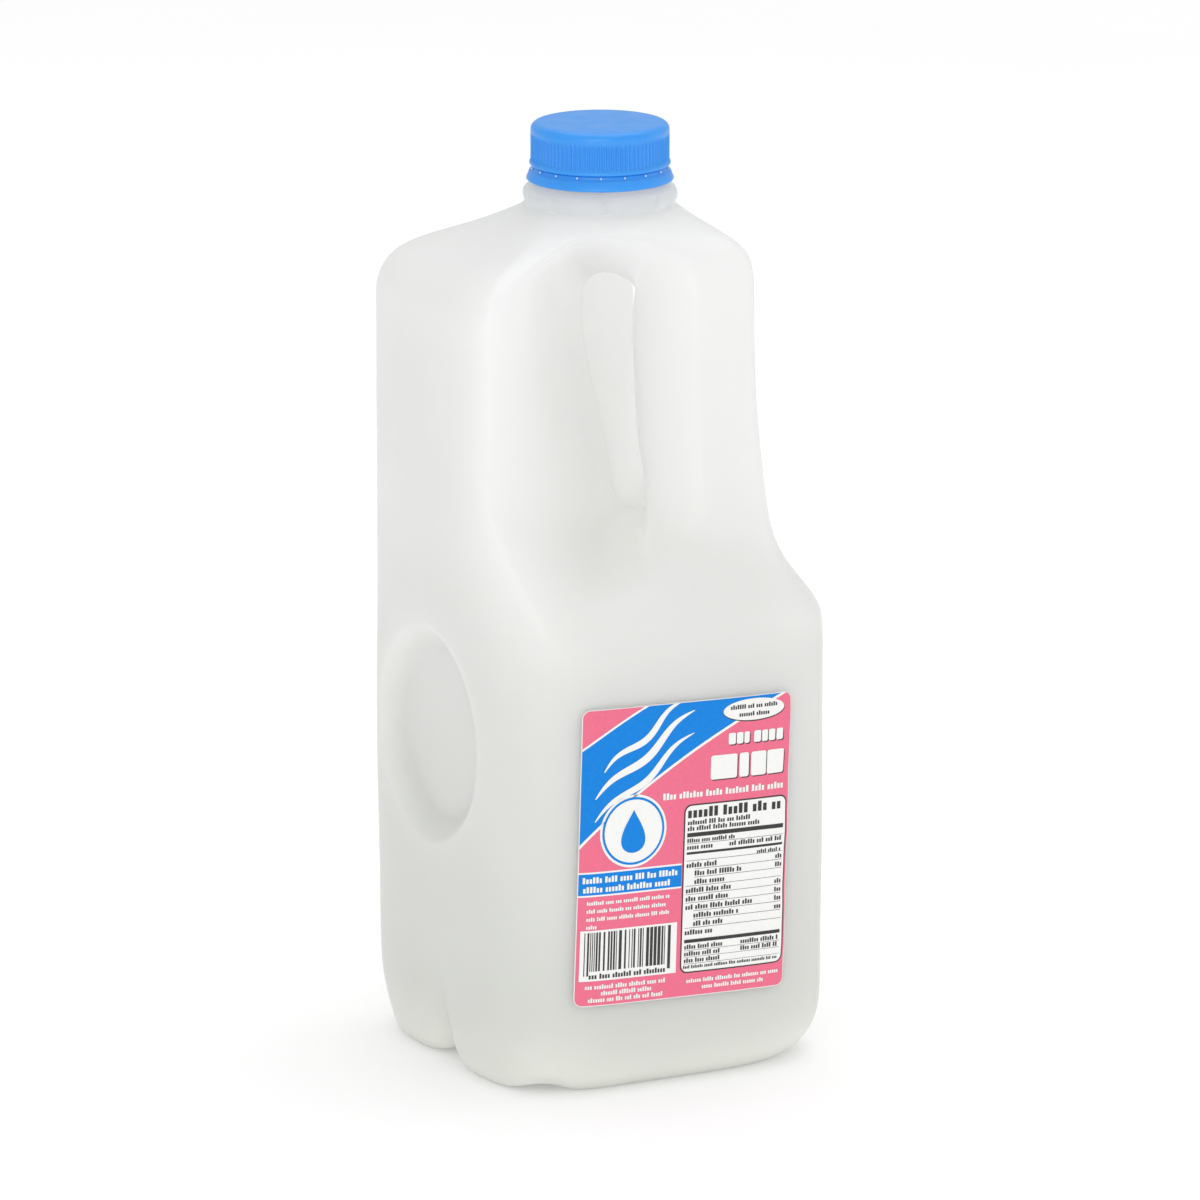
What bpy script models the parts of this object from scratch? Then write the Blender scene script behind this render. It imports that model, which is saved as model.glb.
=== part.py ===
"""Half-gallon milk jug: a blow-moulded square jug with a corner handle, a screw cap with its
tamper band, and a paper label on the front panel.

Metres, +Z up. The origin is the middle of the base on the ground. +X points to the handle
corner, and Y = 0 is the parting plane, so the two halves of the jug mirror each other.
"""
import math

import bmesh
import bpy
from mathutils import Vector

MM = 0.001

# Body: a square with round corners, turned so that one corner points along +X
BODY_HALF = 53.9            # from the axis to each flat panel
CORNER_RADIUS = 25.8
PANEL_TOP = 126.0           # where the front panel starts to round over below the handle
SHOULDER_Z = 212.0          # top of the upright walls at the three full corners
SUBDIVISION = 1

# Neck and its bead, in radius and height
NECK_RADIUS = 20.9
NECK_Z = 242.6
BEAD_RADIUS = 21.9
BEAD_LOW = 244.4
BEAD_HIGH = 247.2
STUB_RADIUS = 17.6
STUB_TOP = 263.2

# Base: hollow underside, contact ring and rounded edge, each row as (height, inset of the
# panels with a dimple, inset of the panels with a label, radius of the back and side corners,
# radius of the handle corner)
BASE_ROWS = ((5.5, 31.0, 32.0, 6.0, 9.0),
             (4.6, 16.5, 20.0, 10.0, 16.0),
             (0.0, 11.6, 15.2, 14.0, 20.0),
             (0.0, 9.2, 12.8, 15.5, 22.5),
             (0.0, 7.0, 10.4, 18.0, 24.0),
             (0.0, 5.4, 8.2, 22.0, 25.5),
             (3.2, 2.6, 3.6, 28.0, 29.0),
             (9.5, 0.9, 0.9, 30.0, 26.0),
             (18.0, 0.0, 0.0, 27.0, 26.5),
             (36.0, 0.0, 0.0, 26.5, 26.5))
EDGE_ROW = 2                # first of these rows that lies on the outer edge
GROOVE_DEPTH = 8.0          # notch in the middle of the two panels without a label
GROOVE_TOP = 34.0
GROOVE_LIFT = 7.5           # the notch ends this far above the ground
GROOVE_T = 1.5              # across the panel, from its middle
GROOVE_HALF_WIDTH = 5.5
FOOT_LIFT = 3.2             # the corner between the feet stands clear of the ground

# Round dimple in the two panels without a label
DIMPLE_T = -2.6             # across the panel, from its middle
DIMPLE_Z = 95.0
DIMPLE_RINGS = ((31.9, 0.0), (30.3, 0.8), (25.8, 5.6), (22.4, 6.4))
DIMPLE_FLOOR = (22.4, 6.6)  # radius and depth of the flat floor
BLOCK_HALF = 38.0           # half the square of cage cells that the dimple replaces
BLOCK_CELLS = 6

# Handle and finger hole, in plan: the pocket wall runs from a ridge on the dimple panel to a
# crest on the parting plane. Its places are given at the top and at the bottom of the hole,
# which narrows downward.
RIDGE = (-15.8, -60.4)
BULGE_TOP = (-3.8, -48.0)
BULGE_BOTTOM = (-1.8, -48.0)
MIDWAY_TOP = (-5.0, -24.0)
MIDWAY_BOTTOM = (3.0, -24.0)
CREST_TOP = -7.6
CREST_BOTTOM = 4.8
HANDLE_INNER = 13.3
INNER_RISE = 2.6            # the handle's inner side stands further out at the bottom
HANDLE_SIDE = 15.9
HANDLE_NOSE = 46.9
CREASE_X = 33.3
HOLE_TOP = 221.6

# Cage columns, from the back-left corner round the front to the handle corner
PANEL_COLUMNS = 8           # cells on the dimple panel, corner to corner
FRONT_COLUMNS = 10          # cells from the front-left corner to the handle corner
LAST = PANEL_COLUMNS + FRONT_COLUMNS
HOLE_LEFT = 11              # columns on the two sides of the finger hole
HOLE_RIGHT = 13
FRONT_PLACES = (-1.0, -0.88, -0.77, -0.66, -0.52, -0.38, -0.20, 0.06, 0.37, 0.73, 1.0)

# Ledge below the handle: each row as (height on the panel, height in the pocket, share of
# the way in there, height at the nose, share there)
LEDGE_ROWS = ((142.0, 133.0, 0.03, 130.5, 0.06),
              (151.0, 139.5, 0.13, 136.0, 0.30),
              (161.0, 146.0, 0.38, 141.5, 0.52),
              (171.0, 152.0, 0.74, 148.5, 0.70),
              (181.0, 157.0, 1.00, 158.0, 0.80),
              (190.0, 168.0, 1.00, 171.0, 0.875),
              (200.0, 186.0, 1.00, 187.0, 0.965),
              (SHOULDER_Z, 204.0, 1.00, 205.0, 1.00))
HOLE_FIRST = 4              # row of the list above that closes the hole below

# Label on the front panel
LABEL_WIDTH = 66.0
LABEL_HEIGHT = 85.0
LABEL_T = -1.5
LABEL_Z = 68.5
LABEL_TILT = math.radians(-1.7)
LABEL_CORNER = 2.4
LABEL_GAP = 0.3
LABEL_THICK = 0.35

# Cap and tamper band
CAP_RADIUS = 19.4
CAP_TOP = 265.6
SKIRT_BOTTOM = 253.1
BAND_TOP = 252.4
BAND_BOTTOM = 249.3
BAND_RADIUS = 20.6
CAP_WALL = 1.4
CAP_SIDES = 64


def lerp(a, b, share):
    return a + (b - a) * share


def smooth(share):
    share = max(0.0, min(1.0, share))
    return share * share * (3.0 - 2.0 * share)


def side_point(f, half, radius):
    """A point on one side of the round-cornered square, as (along it, out from the axis).
    f runs from -1 to 1 by length, from one corner's middle to the next."""
    straight = half - radius
    length = straight + radius * math.pi / 4
    s = abs(f) * length
    sign = math.copysign(1.0, f)
    if s <= straight:
        return sign * s, half
    angle = (s - straight) / radius
    return sign * (straight + radius * math.sin(angle)), straight + radius * math.cos(angle)


def panel_out(t, half=BODY_HALF, radius=CORNER_RADIUS):
    """How far out the wall lies at the place t across a panel."""
    over = abs(t) - (half - radius)
    if over <= 0:
        return half
    return half - radius + math.sqrt(radius * radius - over * over)


def dimple_panel(t, out, z):
    return Vector(((t - out) / math.sqrt(2), (-t - out) / math.sqrt(2), z))


def label_panel(t, out, z):
    return Vector(((t + out) / math.sqrt(2), (t - out) / math.sqrt(2), z))


def column_fraction(column):
    """Where a column crosses its panel, from -1 to 1."""
    if column > PANEL_COLUMNS:
        return FRONT_PLACES[column - PANEL_COLUMNS]
    if column in (0, PANEL_COLUMNS):
        return -1.0 if column == 0 else 1.0
    straight = BODY_HALF - CORNER_RADIUS
    length = straight + CORNER_RADIUS * math.pi / 4
    t = BLOCK_HALF * (2 * (column - 1) / BLOCK_CELLS - 1)
    if abs(t) > straight:
        arc = CORNER_RADIUS * math.asin((abs(t) - straight) / CORNER_RADIUS)
        t = math.copysign(straight + arc, t)
    return t / length


def square_point(column, inset, z, radius=CORNER_RADIUS):
    """The full square section at one column."""
    t, out = side_point(column_fraction(column), BODY_HALF - inset, radius)
    panel = label_panel if column > PANEL_COLUMNS else dimple_panel
    return panel(t, out, z)


def handle_point(column, z):
    """The section through the handle at one column: the pocket wall, then the handle."""
    down = smooth((HOLE_TOP - 5.0 - z) / 62.0)
    crest = lerp(CREST_TOP, CREST_BOTTOM, down)
    inner = HANDLE_INNER + INNER_RISE * down
    plan = {PANEL_COLUMNS - 1: RIDGE,
            PANEL_COLUMNS: (RIDGE[0] + 5.4, RIDGE[1] + 2.0),
            PANEL_COLUMNS + 1: Vector(BULGE_TOP).lerp(Vector(BULGE_BOTTOM), down),
            PANEL_COLUMNS + 2: Vector(MIDWAY_TOP).lerp(Vector(MIDWAY_BOTTOM), down),
            HOLE_LEFT: (crest, 0.0),
            HOLE_RIGHT: (inner, 0.0),
            HOLE_RIGHT + 1: (inner - 0.1, 2.2 - HANDLE_SIDE),
            HOLE_RIGHT + 2: (inner + 8.0, -HANDLE_SIDE),
            HOLE_RIGHT + 3: (CREASE_X, -HANDLE_SIDE),
            HOLE_RIGHT + 4: (CREASE_X + 7.3, -HANDLE_SIDE / 2 - 0.8),
            LAST: (HANDLE_NOSE, 0.0),
            HOLE_LEFT + 1: ((crest + inner) / 2, 0.0)}
    if column not in plan:
        return square_point(column, 0.0, z)
    return Vector((*plan[column], z))


def base_row(index):
    """One row of the base: rounder corners, notches in two sides and a lifted corner."""
    z, dimple_inset, label_inset, radius, handle_radius = BASE_ROWS[index]
    row = []
    for column in range(LAST + 1):
        f = column_fraction(column)
        if column <= PANEL_COLUMNS:
            row.append(dimple_panel(*side_point(f, BODY_HALF - dimple_inset, radius), z))
        else:
            corner = radius if f < 0 else handle_radius
            row.append(label_panel(*side_point(f, BODY_HALF - label_inset, corner), z))
    if index < EDGE_ROW:
        return row
    fade = smooth((GROOVE_TOP - z) / (GROOVE_TOP - 4.0))
    middle = PANEL_COLUMNS // 2
    for column in (middle - 1, middle + 1):
        t, out = side_point(column_fraction(column), BODY_HALF - dimple_inset, radius)
        t = lerp(t, GROOVE_T + math.copysign(GROOVE_HALF_WIDTH, t), fade)
        row[column] = dimple_panel(t, out, z)
    lift = GROOVE_LIFT * smooth((12.0 - z) / 12.0)
    out = BODY_HALF - dimple_inset - GROOVE_DEPTH * fade
    row[middle] = dimple_panel(GROOVE_T * fade, out, z + lift)
    if z < 5.0:
        row[PANEL_COLUMNS].z += FOOT_LIFT
        row[PANEL_COLUMNS + 1].z += FOOT_LIFT * 0.5
    return row


def ledge_row(panel_z, pocket_z, pocket_share, nose_z, nose_share):
    """One row that turns the full square below into the handle section above."""
    row = []
    for column in range(LAST + 1):
        toward_front = smooth((column - PANEL_COLUMNS + 2) / 3.0)
        toward_nose = smooth((column - HOLE_RIGHT) / (LAST - HOLE_RIGHT))
        z = lerp(panel_z, lerp(pocket_z, nose_z, toward_nose), toward_front)
        share = lerp(pocket_share, nose_share, toward_nose)
        row.append(square_point(column, 0.0, z).lerp(handle_point(column, z), share))
    return row


def neck_angle(column):
    """The direction of each column on the round neck."""
    corner = math.radians(265.0)
    if column <= PANEL_COLUMNS:
        return lerp(math.pi, corner, column / PANEL_COLUMNS)
    return lerp(corner, 2 * math.pi, (column - PANEL_COLUMNS) / FRONT_COLUMNS)


def ring_point(column, radius, z):
    angle = neck_angle(column)
    return Vector((radius * math.cos(angle), radius * math.sin(angle), z))


def wall_top_row():
    """Top of the upright walls, and the arch that closes the finger hole above."""
    row = [handle_point(c, SHOULDER_Z + 7.5) for c in range(LAST + 1)]
    row[PANEL_COLUMNS + 1].z = 221.0
    row[PANEL_COLUMNS + 2].z = 221.5
    row[HOLE_LEFT] = Vector((CREST_TOP + 1.0, 0.0, HOLE_TOP - 5.0))
    row[HOLE_LEFT + 1].z = HOLE_TOP
    row[HOLE_RIGHT] = Vector((HANDLE_INNER - 1.0, 0.0, HOLE_TOP - 5.5))
    for column in range(HOLE_RIGHT + 1, LAST + 1):
        row[column].z = 218.5
    return row


def shoulder_edge_row():
    """The rounded shoulder edge, and half way up the sloping roof of the pocket."""
    row = [square_point(c, 4.0, 227.0, CORNER_RADIUS - 2.0) for c in range(LAST + 1)]
    plan = {PANEL_COLUMNS - 1: (-14.0, -57.0, 226.6),
            PANEL_COLUMNS: (-9.6, -54.8, 227.3),
            PANEL_COLUMNS + 1: (-5.6, -43.6, 229.0),
            PANEL_COLUMNS + 2: (-4.6, -27.0, 230.9),
            HOLE_LEFT: (-2.6, -17.2, 230.0),
            HOLE_LEFT + 1: (5.2, -17.6, 229.4),
            HOLE_RIGHT: (12.6, -17.0, 228.8),
            HOLE_RIGHT + 1: (17.4, -17.4, 228.4),
            HOLE_RIGHT + 2: (23.4, -16.4, 228.4),
            HOLE_RIGHT + 3: (32.9, -15.4, 228.6),
            HOLE_RIGHT + 4: (40.2, -8.4, 229.8),
            LAST: (46.8, 0.0, 230.9)}
    for column, place in plan.items():
        row[column] = Vector(place)
    return row


def shoulder_row():
    """The shoulder's outer slope, and the rim of the pocket under the neck."""
    row = [square_point(c, 13.0, 230.9, CORNER_RADIUS - 5.0) for c in range(LAST + 1)]
    plan = {PANEL_COLUMNS - 1: (-14.2, -47.6, 231.2),
            PANEL_COLUMNS: (-8.4, -45.4, 231.8),
            PANEL_COLUMNS + 1: (-3.6, -38.6, 233.6),
            PANEL_COLUMNS + 2: (0.0, -31.6, 236.2),
            HOLE_LEFT: (4.4, -28.4, 237.2),
            HOLE_LEFT + 1: (9.6, -26.6, 237.5),
            HOLE_RIGHT: (15.0, -24.4, 237.2),
            HOLE_RIGHT + 1: (20.2, -21.0, 236.0),
            HOLE_RIGHT + 2: (25.2, -17.6, 235.0),
            HOLE_RIGHT + 3: (30.0, -13.0, 234.6),
            HOLE_RIGHT + 4: (34.4, -6.8, 234.8),
            LAST: (36.8, 0.0, 235.6)}
    for column, place in plan.items():
        row[column] = Vector(place)
    return row


def neck_rows(outer):
    """From the shoulder in to the neck, over the bead and up the stub inside the cap."""
    rows = []
    for share, rise in ((0.42, 0.40), (0.74, 0.75), (0.93, 0.96)):
        row = []
        for column, start in enumerate(outer):
            end = ring_point(column, NECK_RADIUS, NECK_Z)
            point = start.lerp(end, share)
            sag = 0.05 * smooth((HOLE_LEFT - column) / 4.0)
            point.z = lerp(start.z, NECK_Z - 0.6, rise - sag)
            row.append(point)
        rows.append(row)
    profile = ((NECK_RADIUS, NECK_Z + 0.4), (BEAD_RADIUS, BEAD_LOW), (BEAD_RADIUS, BEAD_HIGH),
               (STUB_RADIUS + 0.9, BEAD_HIGH + 1.1), (STUB_RADIUS, BEAD_HIGH + 3.4),
               (STUB_RADIUS, STUB_TOP - 0.6), (STUB_RADIUS - 1.6, STUB_TOP))
    for radius, z in profile:
        rows.append([ring_point(c, radius, z) for c in range(LAST + 1)])
    return rows


def all_rows():
    """Every row of the cage from the underside to the top of the neck."""
    rows = [base_row(index) for index in range(len(BASE_ROWS))]
    block_first = len(rows)
    for k in range(BLOCK_CELLS + 1):
        z = DIMPLE_Z + BLOCK_HALF * (2 * k / BLOCK_CELLS - 1)
        row = []
        for column in range(LAST + 1):
            toward_front = smooth((column - PANEL_COLUMNS + 1) / 3.0)
            height = lerp(z, min(z, PANEL_TOP), toward_front)
            row.append(square_point(column, 0.0, height))
        rows.append(row)
    ledge_first = len(rows)
    rows += [ledge_row(*values) for values in LEDGE_ROWS]
    rows.append(wall_top_row())
    hole = (ledge_first + HOLE_FIRST, len(rows) - 1)
    rows.append(shoulder_edge_row())
    outer = shoulder_row()
    rows.append(outer)
    rows += neck_rows(outer)
    return rows, block_first, hole


def block_border(low, high, left, right):
    """Row and column of each place round a block of the cage, counter-clockwise."""
    border = [(low, c) for c in range(left, right)]
    border += [(r, right) for r in range(low, high)]
    border += [(high, c) for c in range(right, left, -1)]
    border += [(r, left) for r in range(high, low, -1)]
    return border


def disc_point(u, v, radius):
    """A square from -1 to 1 pressed into a disc."""
    return (u * math.sqrt(1 - v * v / 2) * radius, v * math.sqrt(1 - u * u / 2) * radius)


def add_dimple(bm, grid, first):
    """Rings down into the dimple and a floor in place of a block of the cage."""
    left = 1
    right = left + BLOCK_CELLS
    low, high = first, first + BLOCK_CELLS
    border = block_border(low, high, left, right)
    outer = [grid[r][c] for r, c in border]
    for radius, depth in DIMPLE_RINGS:
        ring = []
        for r, c in border:
            u = 2 * (c - left) / BLOCK_CELLS - 1
            v = 2 * (r - low) / BLOCK_CELLS - 1
            x, y = disc_point(u, v, radius)
            t = DIMPLE_T + x
            ring.append(bm.verts.new(dimple_panel(t, panel_out(t) - depth, DIMPLE_Z + y) * MM))
        for k in range(len(border)):
            n = (k + 1) % len(border)
            bm.faces.new((outer[k], outer[n], ring[n], ring[k]))
        outer = ring
    radius, depth = DIMPLE_FLOOR
    floor = {place: vert for place, vert in zip(border, outer)}
    for r in range(low + 1, high):
        for c in range(left + 1, right):
            u = 2 * (c - left) / BLOCK_CELLS - 1
            v = 2 * (r - low) / BLOCK_CELLS - 1
            x, y = disc_point(u, v, radius)
            place = dimple_panel(DIMPLE_T + x, BODY_HALF - depth, DIMPLE_Z + y)
            floor[(r, c)] = bm.verts.new(place * MM)
    for r in range(low, high):
        for c in range(left, right):
            bm.faces.new((floor[(r, c)], floor[(r, c + 1)],
                          floor[(r + 1, c + 1)], floor[(r + 1, c)]))


def close_end(bm, row, flip):
    """Strips across the parting plane's half disc, between opposite places of one row."""
    last = len(row) - 1
    for k in range(last // 2):
        ends = (row[k], row[k + 1], row[last - k - 1], row[last - k])
        if k + 1 == last - k - 1:
            ends = (row[k], row[k + 1], row[last - k])
        bm.faces.new(ends[::-1] if flip else ends)


def build_half_cage():
    """The cage of one half of the jug, open along the parting plane."""
    rows, block_first, hole = all_rows()
    bm = bmesh.new()
    block_columns = range(2, 1 + BLOCK_CELLS)
    block_rows = range(block_first + 1, block_first + BLOCK_CELLS)
    grid = []
    for r, row in enumerate(rows):
        line = []
        for c, place in enumerate(row):
            in_block = r in block_rows and c in block_columns
            in_hole = hole[0] < r < hole[1] and HOLE_LEFT < c < HOLE_RIGHT
            line.append(None if in_block or in_hole else bm.verts.new(place * MM))
        grid.append(line)
    for r in range(len(rows) - 1):
        for c in range(LAST):
            if hole[0] <= r < hole[1] and HOLE_LEFT <= c < HOLE_RIGHT:
                continue
            if block_first <= r < block_first + BLOCK_CELLS and 1 <= c < 1 + BLOCK_CELLS:
                continue
            bm.faces.new((grid[r][c], grid[r][c + 1], grid[r + 1][c + 1], grid[r + 1][c]))
    add_dimple(bm, grid, block_first)
    close_end(bm, grid[0], True)
    close_end(bm, grid[-1], False)
    add_creases(bm, grid, hole)
    return bm


def add_creases(bm, grid, hole):
    """Tighter edges along the handle's two long corners."""
    layer = bm.edges.layers.float.new("crease_edge")
    for column, weight, first in ((HOLE_RIGHT + 1, 0.5, 1), (HOLE_RIGHT + 3, 0.7, 0)):
        for r in range(hole[0] + first, hole[1] + 1):
            edge = bm.edges.get((grid[r][column], grid[r + 1][column]))
            edge[layer] = weight


def make_material(name, color, roughness, subsurface=0.0):
    material = bpy.data.materials.new(name)
    material.use_nodes = True
    shader = material.node_tree.nodes["Principled BSDF"]
    shader.inputs["Base Color"].default_value = (*color, 1.0)
    shader.inputs["Roughness"].default_value = roughness
    shader.inputs["Metallic"].default_value = 0.0
    shader.inputs["Subsurface Weight"].default_value = subsurface
    return material


def make_object(bm, name, material, collection, smooth_shading=True):
    mesh = bpy.data.meshes.new(name)
    bm.normal_update()
    bm.to_mesh(mesh)
    bm.free()
    if smooth_shading:
        mesh.shade_smooth()
    mesh.materials.append(material)
    obj = bpy.data.objects.new(name, mesh)
    collection.objects.link(obj)
    return obj


def make_body(collection):
    material = make_material("milk_white_polyethylene", (0.80, 0.81, 0.78), 0.42, 0.2)
    body = make_object(build_half_cage(), "jug_body", material, collection)
    mirror = body.modifiers.new("Two halves", "MIRROR")
    mirror.use_axis = (False, True, False)
    mirror.use_clip = True
    mirror.merge_threshold = 0.00005
    surface = body.modifiers.new("Moulded surface", "SUBSURF")
    surface.levels = SUBDIVISION
    surface.render_levels = SUBDIVISION
    return body


def make_cap(collection):
    """The screw cap, its skirt and tamper band in one turned wall, hollow over the neck."""
    inner = CAP_RADIUS - CAP_WALL
    profile = ((0.0, CAP_TOP), (CAP_RADIUS - 2.2, CAP_TOP), (CAP_RADIUS - 0.6, CAP_TOP - 0.5),
               (CAP_RADIUS, CAP_TOP - 1.6), (CAP_RADIUS, SKIRT_BOTTOM),
               (CAP_RADIUS - 0.7, SKIRT_BOTTOM - 0.1), (CAP_RADIUS - 0.7, BAND_TOP + 0.1),
               (CAP_RADIUS + 0.2, BAND_TOP), (BAND_RADIUS, BAND_BOTTOM),
               (BAND_RADIUS - 1.5, BAND_BOTTOM - 0.1), (inner, BAND_TOP - 0.6),
               (inner, CAP_TOP - 2.0), (0.0, CAP_TOP - 2.0))
    bm = bmesh.new()
    verts = [bm.verts.new((r * MM, 0.0, z * MM)) for r, z in profile]
    for a, b in zip(verts, verts[1:]):
        bm.edges.new((a, b))
    material = make_material("cap_blue", (0.055, 0.30, 0.83), 0.38)
    cap = make_object(bm, "cap", material, collection)
    turn = cap.modifiers.new("Turned", "SCREW")
    turn.axis = "Z"
    turn.angle = 2 * math.pi
    turn.steps = CAP_SIDES
    turn.render_steps = CAP_SIDES
    turn.use_merge_vertices = True
    turn.merge_threshold = 0.00005
    turn.use_smooth_shade = True
    return cap


def make_label(collection):
    """A thin sheet with round corners that follows the front panel."""
    across, up = 24, 8
    bm = bmesh.new()
    grid = []
    for j in range(up + 1):
        line = []
        for i in range(across + 1):
            x = LABEL_WIDTH * (i / across - 0.5)
            y = LABEL_HEIGHT * (j / up - 0.5)
            inset = 0.0
            if j in (0, up):
                inset = max(0.0, abs(x) - (LABEL_WIDTH / 2 - LABEL_CORNER))
            y -= math.copysign(inset * inset / LABEL_CORNER * 0.9, y)
            t = LABEL_T + x * math.cos(LABEL_TILT) - y * math.sin(LABEL_TILT)
            z = LABEL_Z + x * math.sin(LABEL_TILT) + y * math.cos(LABEL_TILT)
            out = panel_out(t) + LABEL_GAP
            line.append(bm.verts.new(label_panel(t, out, z) * MM))
        grid.append(line)
    for j in range(up):
        for i in range(across):
            bm.faces.new((grid[j][i], grid[j][i + 1], grid[j + 1][i + 1], grid[j + 1][i]))
    material = make_material("label_paper", (0.88, 0.26, 0.36), 0.5)
    label = make_object(bm, "label", material, collection, False)
    sheet = label.modifiers.new("Sheet", "SOLIDIFY")
    sheet.thickness = LABEL_THICK * MM
    sheet.offset = 1.0
    return label


def main():
    for old in list(bpy.data.objects):
        bpy.data.objects.remove(old, do_unlink=True)
    collection = bpy.data.collections.new("milk_jug")
    bpy.context.scene.collection.children.link(collection)
    make_body(collection)
    make_cap(collection)
    make_label(collection)


main()
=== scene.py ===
"""Looks of the half-gallon milk jug: the moulded body with its parting line and neck lugs, the
ribbed screw cap with its tamper band, and the label with its printed fields.

Places are in millimetres in the part's own frame, turned into metres when a mesh is made.
The body's cage is the one that the solid is made from, subdivided further.
"""

import math
import random

import bmesh
import bpy
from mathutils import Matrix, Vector, noise
from mathutils.bvhtree import BVHTree


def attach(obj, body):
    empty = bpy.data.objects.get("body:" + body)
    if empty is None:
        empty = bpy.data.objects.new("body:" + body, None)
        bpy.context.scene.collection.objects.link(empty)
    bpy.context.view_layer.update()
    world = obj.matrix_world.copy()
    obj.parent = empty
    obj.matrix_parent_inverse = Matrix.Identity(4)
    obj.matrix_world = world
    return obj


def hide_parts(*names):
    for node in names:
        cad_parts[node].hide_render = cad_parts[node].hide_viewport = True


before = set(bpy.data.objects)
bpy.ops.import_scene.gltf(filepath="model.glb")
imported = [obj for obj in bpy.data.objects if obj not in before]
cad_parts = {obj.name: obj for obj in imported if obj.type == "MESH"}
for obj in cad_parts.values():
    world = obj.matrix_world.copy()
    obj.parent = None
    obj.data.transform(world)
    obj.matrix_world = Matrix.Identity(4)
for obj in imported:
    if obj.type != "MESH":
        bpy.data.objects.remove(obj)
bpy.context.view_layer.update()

MM = 0.001

# Body: a square with round corners, turned so that one corner points along +X
BODY_HALF = 53.9            # from the axis to each flat panel
CORNER_RADIUS = 25.8
PANEL_TOP = 126.0           # where the front panel starts to round over below the handle
SHOULDER_Z = 212.0          # top of the upright walls at the three full corners
SUBDIVISION = 3

# Neck and its bead, in radius and height
NECK_RADIUS = 20.9
NECK_Z = 242.6
BEAD_RADIUS = 21.9
BEAD_LOW = 244.4
BEAD_HIGH = 247.2
STUB_RADIUS = 17.6
STUB_TOP = 263.2

# Base: hollow underside, contact ring and rounded edge, each row as (height, inset of the
# panels with a dimple, inset of the panels with a label, radius of the back and side corners,
# radius of the handle corner)
BASE_ROWS = ((5.5, 31.0, 32.0, 6.0, 9.0),
             (4.6, 16.5, 20.0, 10.0, 16.0),
             (0.0, 11.6, 15.2, 14.0, 20.0),
             (0.0, 9.2, 12.8, 15.5, 22.5),
             (0.0, 7.0, 10.4, 18.0, 24.0),
             (0.0, 5.4, 8.2, 22.0, 25.5),
             (3.2, 2.6, 3.6, 28.0, 29.0),
             (9.5, 0.9, 0.9, 30.0, 26.0),
             (18.0, 0.0, 0.0, 27.0, 26.5),
             (36.0, 0.0, 0.0, 26.5, 26.5))
EDGE_ROW = 2                # first of these rows that lies on the outer edge
GROOVE_DEPTH = 8.0          # notch in the middle of the two panels without a label
GROOVE_TOP = 34.0
GROOVE_LIFT = 7.5           # the notch ends this far above the ground
GROOVE_T = 1.5              # across the panel, from its middle
GROOVE_HALF_WIDTH = 5.5
FOOT_LIFT = 3.2             # the corner between the feet stands clear of the ground

# Round dimple in the two panels without a label
DIMPLE_T = -2.6             # across the panel, from its middle
DIMPLE_Z = 95.0
DIMPLE_RINGS = ((31.9, 0.0), (30.3, 0.8), (25.8, 5.6), (22.4, 6.4))
DIMPLE_FLOOR = (22.4, 6.6)  # radius and depth of the flat floor
BLOCK_HALF = 38.0           # half the square of cage cells that the dimple replaces
BLOCK_CELLS = 6

# Handle and finger hole, in plan: the pocket wall runs from a ridge on the dimple panel to a
# crest on the parting plane. Its places are given at the top and at the bottom of the hole,
# which narrows downward.
RIDGE = (-15.8, -60.4)
BULGE_TOP = (-3.8, -48.0)
BULGE_BOTTOM = (-1.8, -48.0)
MIDWAY_TOP = (-5.0, -24.0)
MIDWAY_BOTTOM = (3.0, -24.0)
CREST_TOP = -7.6
CREST_BOTTOM = 4.8
HANDLE_INNER = 13.3
INNER_RISE = 2.6            # the handle's inner side stands further out at the bottom
HANDLE_SIDE = 15.9
HANDLE_NOSE = 46.9
CREASE_X = 33.3
HOLE_TOP = 221.6

# Cage columns, from the back-left corner round the front to the handle corner
PANEL_COLUMNS = 8           # cells on the dimple panel, corner to corner
FRONT_COLUMNS = 10          # cells from the front-left corner to the handle corner
LAST = PANEL_COLUMNS + FRONT_COLUMNS
HOLE_LEFT = 11              # columns on the two sides of the finger hole
HOLE_RIGHT = 13
FRONT_PLACES = (-1.0, -0.88, -0.77, -0.66, -0.52, -0.38, -0.20, 0.06, 0.37, 0.73, 1.0)

# Ledge below the handle: each row as (height on the panel, height in the pocket, share of
# the way in there, height at the nose, share there)
LEDGE_ROWS = ((142.0, 133.0, 0.03, 130.5, 0.06),
              (151.0, 139.5, 0.13, 136.0, 0.30),
              (161.0, 146.0, 0.38, 141.5, 0.52),
              (171.0, 152.0, 0.74, 148.5, 0.70),
              (181.0, 157.0, 1.00, 158.0, 0.80),
              (190.0, 168.0, 1.00, 171.0, 0.875),
              (200.0, 186.0, 1.00, 187.0, 0.965),
              (SHOULDER_Z, 204.0, 1.00, 205.0, 1.00))
HOLE_FIRST = 4              # row of the list above that closes the hole below

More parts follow.
